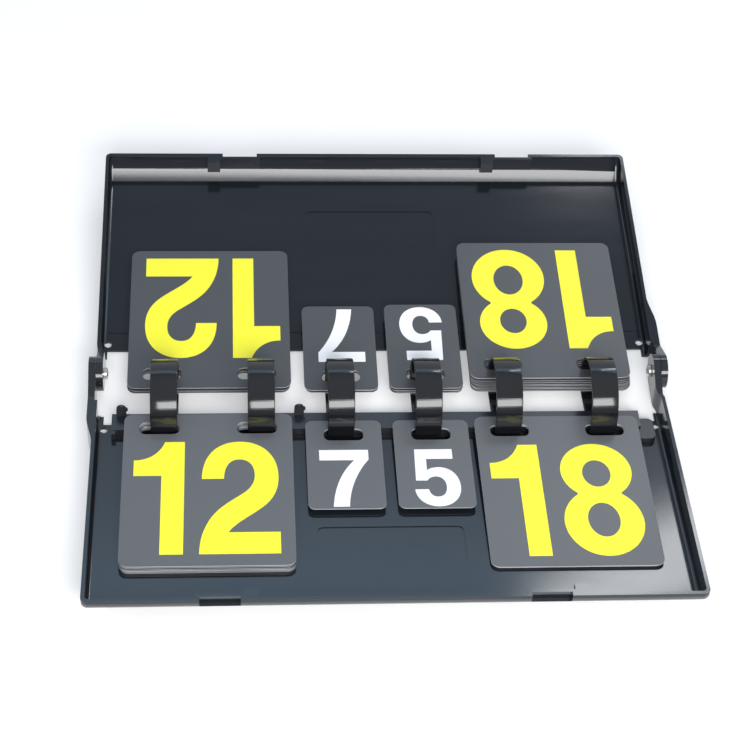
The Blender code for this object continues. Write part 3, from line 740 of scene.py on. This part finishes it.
def dress_frame():
    """Gives the frame's own nodes their finishes and softens their edges."""
    finishes = {"front_case": CASE, "rear_case": CASE, "ring_carrier": CARRIER,
                "pivot_screw_left": STEEL, "pivot_screw_right": STEEL}
    for name, node in frame["nodes"].items():
        # The front cards take a lighter copy of the card sheet: painted light from the window in
        # front
        plain = CARD_PAINTED_LIT if name.startswith("front_card") else CARD
        node.data.materials.clear()
        node.data.materials.append(finishes.get(name, plain))
        if "_card_" in name:
            node.data.materials.append(CARD_EDGE)
            up = card_plane(name.split("_")[0]).to_3x3() @ Vector((0, 0, 1))
            rim_faces(node.data, up, 1)
        node.data.shade_smooth()
        node.data.set_sharp_from_angle(angle=PIECE_SHARP)
        soften(node, CARD_CUT if "card" in name or "pack" in name else MOULDED_EDGE)


# Studio

def make_floor():
    """Pale floor: a soft white that the camera and reflections see a little brighter."""
    bpy.ops.mesh.primitive_plane_add(size=FLOOR_SIZE)
    floor = bpy.context.object
    floor.name = "floor"
    floor.location.z = -FLOOR_DROP
    make, material, shader = new_material("pale_floor")
    shader.inputs["Base Color"].default_value = (*FLOOR_COLOUR, 1)
    shader.inputs["Roughness"].default_value = 0.8
    shader.inputs["Emission Color"].default_value = (1, 1, 1, 1)
    path = make.add("ShaderNodeLightPath").outputs
    seen = make.math("MAXIMUM", path["Is Camera Ray"], path["Is Glossy Ray"])
    make.feed(shader.inputs["Emission Strength"], make.math("MULTIPLY", seen, FLOOR_LIFT))
    floor.data.materials.append(material)


def area_light(name, place, target, size, power, roll=0.0):
    lamp = bpy.data.lights.new(name, "AREA")
    lamp.shape = "RECTANGLE"
    lamp.size = size[0]
    lamp.size_y = size[1]
    lamp.energy = power
    item = linked(name, lamp)
    item.location = place
    aim = (Vector(target) - Vector(place)).to_track_quat("-Z", "Y")
    item.rotation_euler = (aim @ Quaternion((0, 0, 1), roll)).to_euler()
    item.visible_camera = False


def sky_ramp(make, stops, height):
    """Ramp whose colours are kept under 1; the dome's strength brings them back up."""
    ramp = make.add("ShaderNodeValToRGB", Fac=height)
    elements = ramp.color_ramp.elements
    for index, (position, colour) in enumerate(stops):
        if index == 0:
            stop = elements[0]
        elif index == len(stops) - 1:
            stop = elements[len(elements) - 1]
        else:
            stop = elements.new(position)
        stop.position = position
        stop.color = (*[part / SKY_TOP for part in colour], 1)
    return ramp.outputs["Color"]


def make_lights():
    """Even dome with a cool bright band and a dim band over it at the back, a broad
    window in front, and a slanted panel at the back right that the front tray mirrors."""
    world = bpy.data.worlds.new("studio")
    bpy.context.scene.world = world
    world.use_nodes = True
    make = Builder(world.node_tree)
    place = make.add("ShaderNodeTexCoord").outputs["Generated"]
    parts = make.add("ShaderNodeSeparateXYZ", Vector=place).outputs
    side = make.add("ShaderNodeMapRange", Value=parts["Y"], From_Min=BACK_FROM,
                    From_Max=BACK_FULL)
    both = make.add("ShaderNodeMix", {"data_type": "RGBA"}, Factor=side.outputs["Result"],
                    A=sky_ramp(make, EVEN_SKY, parts["Z"]),
                    B=sky_ramp(make, BACK_SKY, parts["Z"]))
    background = make.nodes["Background"]
    make.feed(background.inputs["Color"], both.outputs["Result"])
    background.inputs["Strength"].default_value = SKY_TOP
    area_light("window", (0.12, -1.03, 0.714), (0.05, 0.04, 0.069), (0.95, 0.44), 16)
    area_light("slanted_panel", (0.93, 2.0, 1.972), (0.93, 0, 1.972), (0.85, 0.235), 6.6,
               radians(36.9))


def make_camera():
    lens = bpy.data.cameras.new("camera")
    lens.sensor_width = SENSOR
    lens.lens = CAMERA_LENS
    lens.clip_start = CAMERA_NEAR
    lens.clip_end = CAMERA_FAR
    item = linked("camera", lens)
    item.location = CAMERA_PLACE
    item.rotation_euler = CAMERA_TURN
    bpy.context.scene.camera = item
    bpy.context.scene.view_settings.view_transform = "Standard"


# Each finish: two tones, roughness, smear, peel, grain and, for the case, dust
SURFACE = surface_group("moulded_surface")
CASE = moulded("gloss_black_case", (0.009, 0.012, 0.016), (0.013, 0.017, 0.022),
               0.1, 0.06, 0.06, 1500, 0.02)
RING = moulded("gloss_black_ring", (0.006, 0.007, 0.009), (0.01, 0.011, 0.013),
               0.12, 0.03, 0.03, 1300)
CARRIER = moulded("satin_black_carrier", (0.01, 0.012, 0.016), (0.015, 0.018, 0.022),
                  0.28, 0.1, 0.2, 1300)
CARD = moulded("card_sheet", (0.054, 0.057, 0.062), (0.063, 0.067, 0.072),
               0.34, 0.1, 0.12, 2200)
# The same card sheet painted lighter for the front cards: painted light, not a different card
CARD_PAINTED_LIT = moulded("front_card_sheet", (0.098, 0.103, 0.11), (0.112, 0.118, 0.127),
                     0.36, 0.1, 0.12, 2200)
CARD_EDGE = moulded("card_edges", (0.42, 0.43, 0.45), (0.6, 0.61, 0.63),
                    0.4, 0.1, 0.2, 2200)
STEEL = moulded("plated_steel", (0.62, 0.62, 0.6), (0.7, 0.7, 0.68),
                0.28, 0.1, 0.1, 2500)
STEEL.node_tree.nodes["Principled BSDF"].inputs["Metallic"].default_value = 1.0
YELLOW = moulded("numeral_yellow", NUMERAL_YELLOW, (0.93, 0.89, 0.03),
                 0.42, 0.1, 0.1, 2200)
WHITE = moulded("numeral_white", NUMERAL_WHITE, (0.9, 0.91, 0.93),
                0.42, 0.1, 0.1, 2200)

make_camera()
dress_frame()
place_shells()
place_rings()
place_packs()
print_numbers()
make_floor()
make_lights()
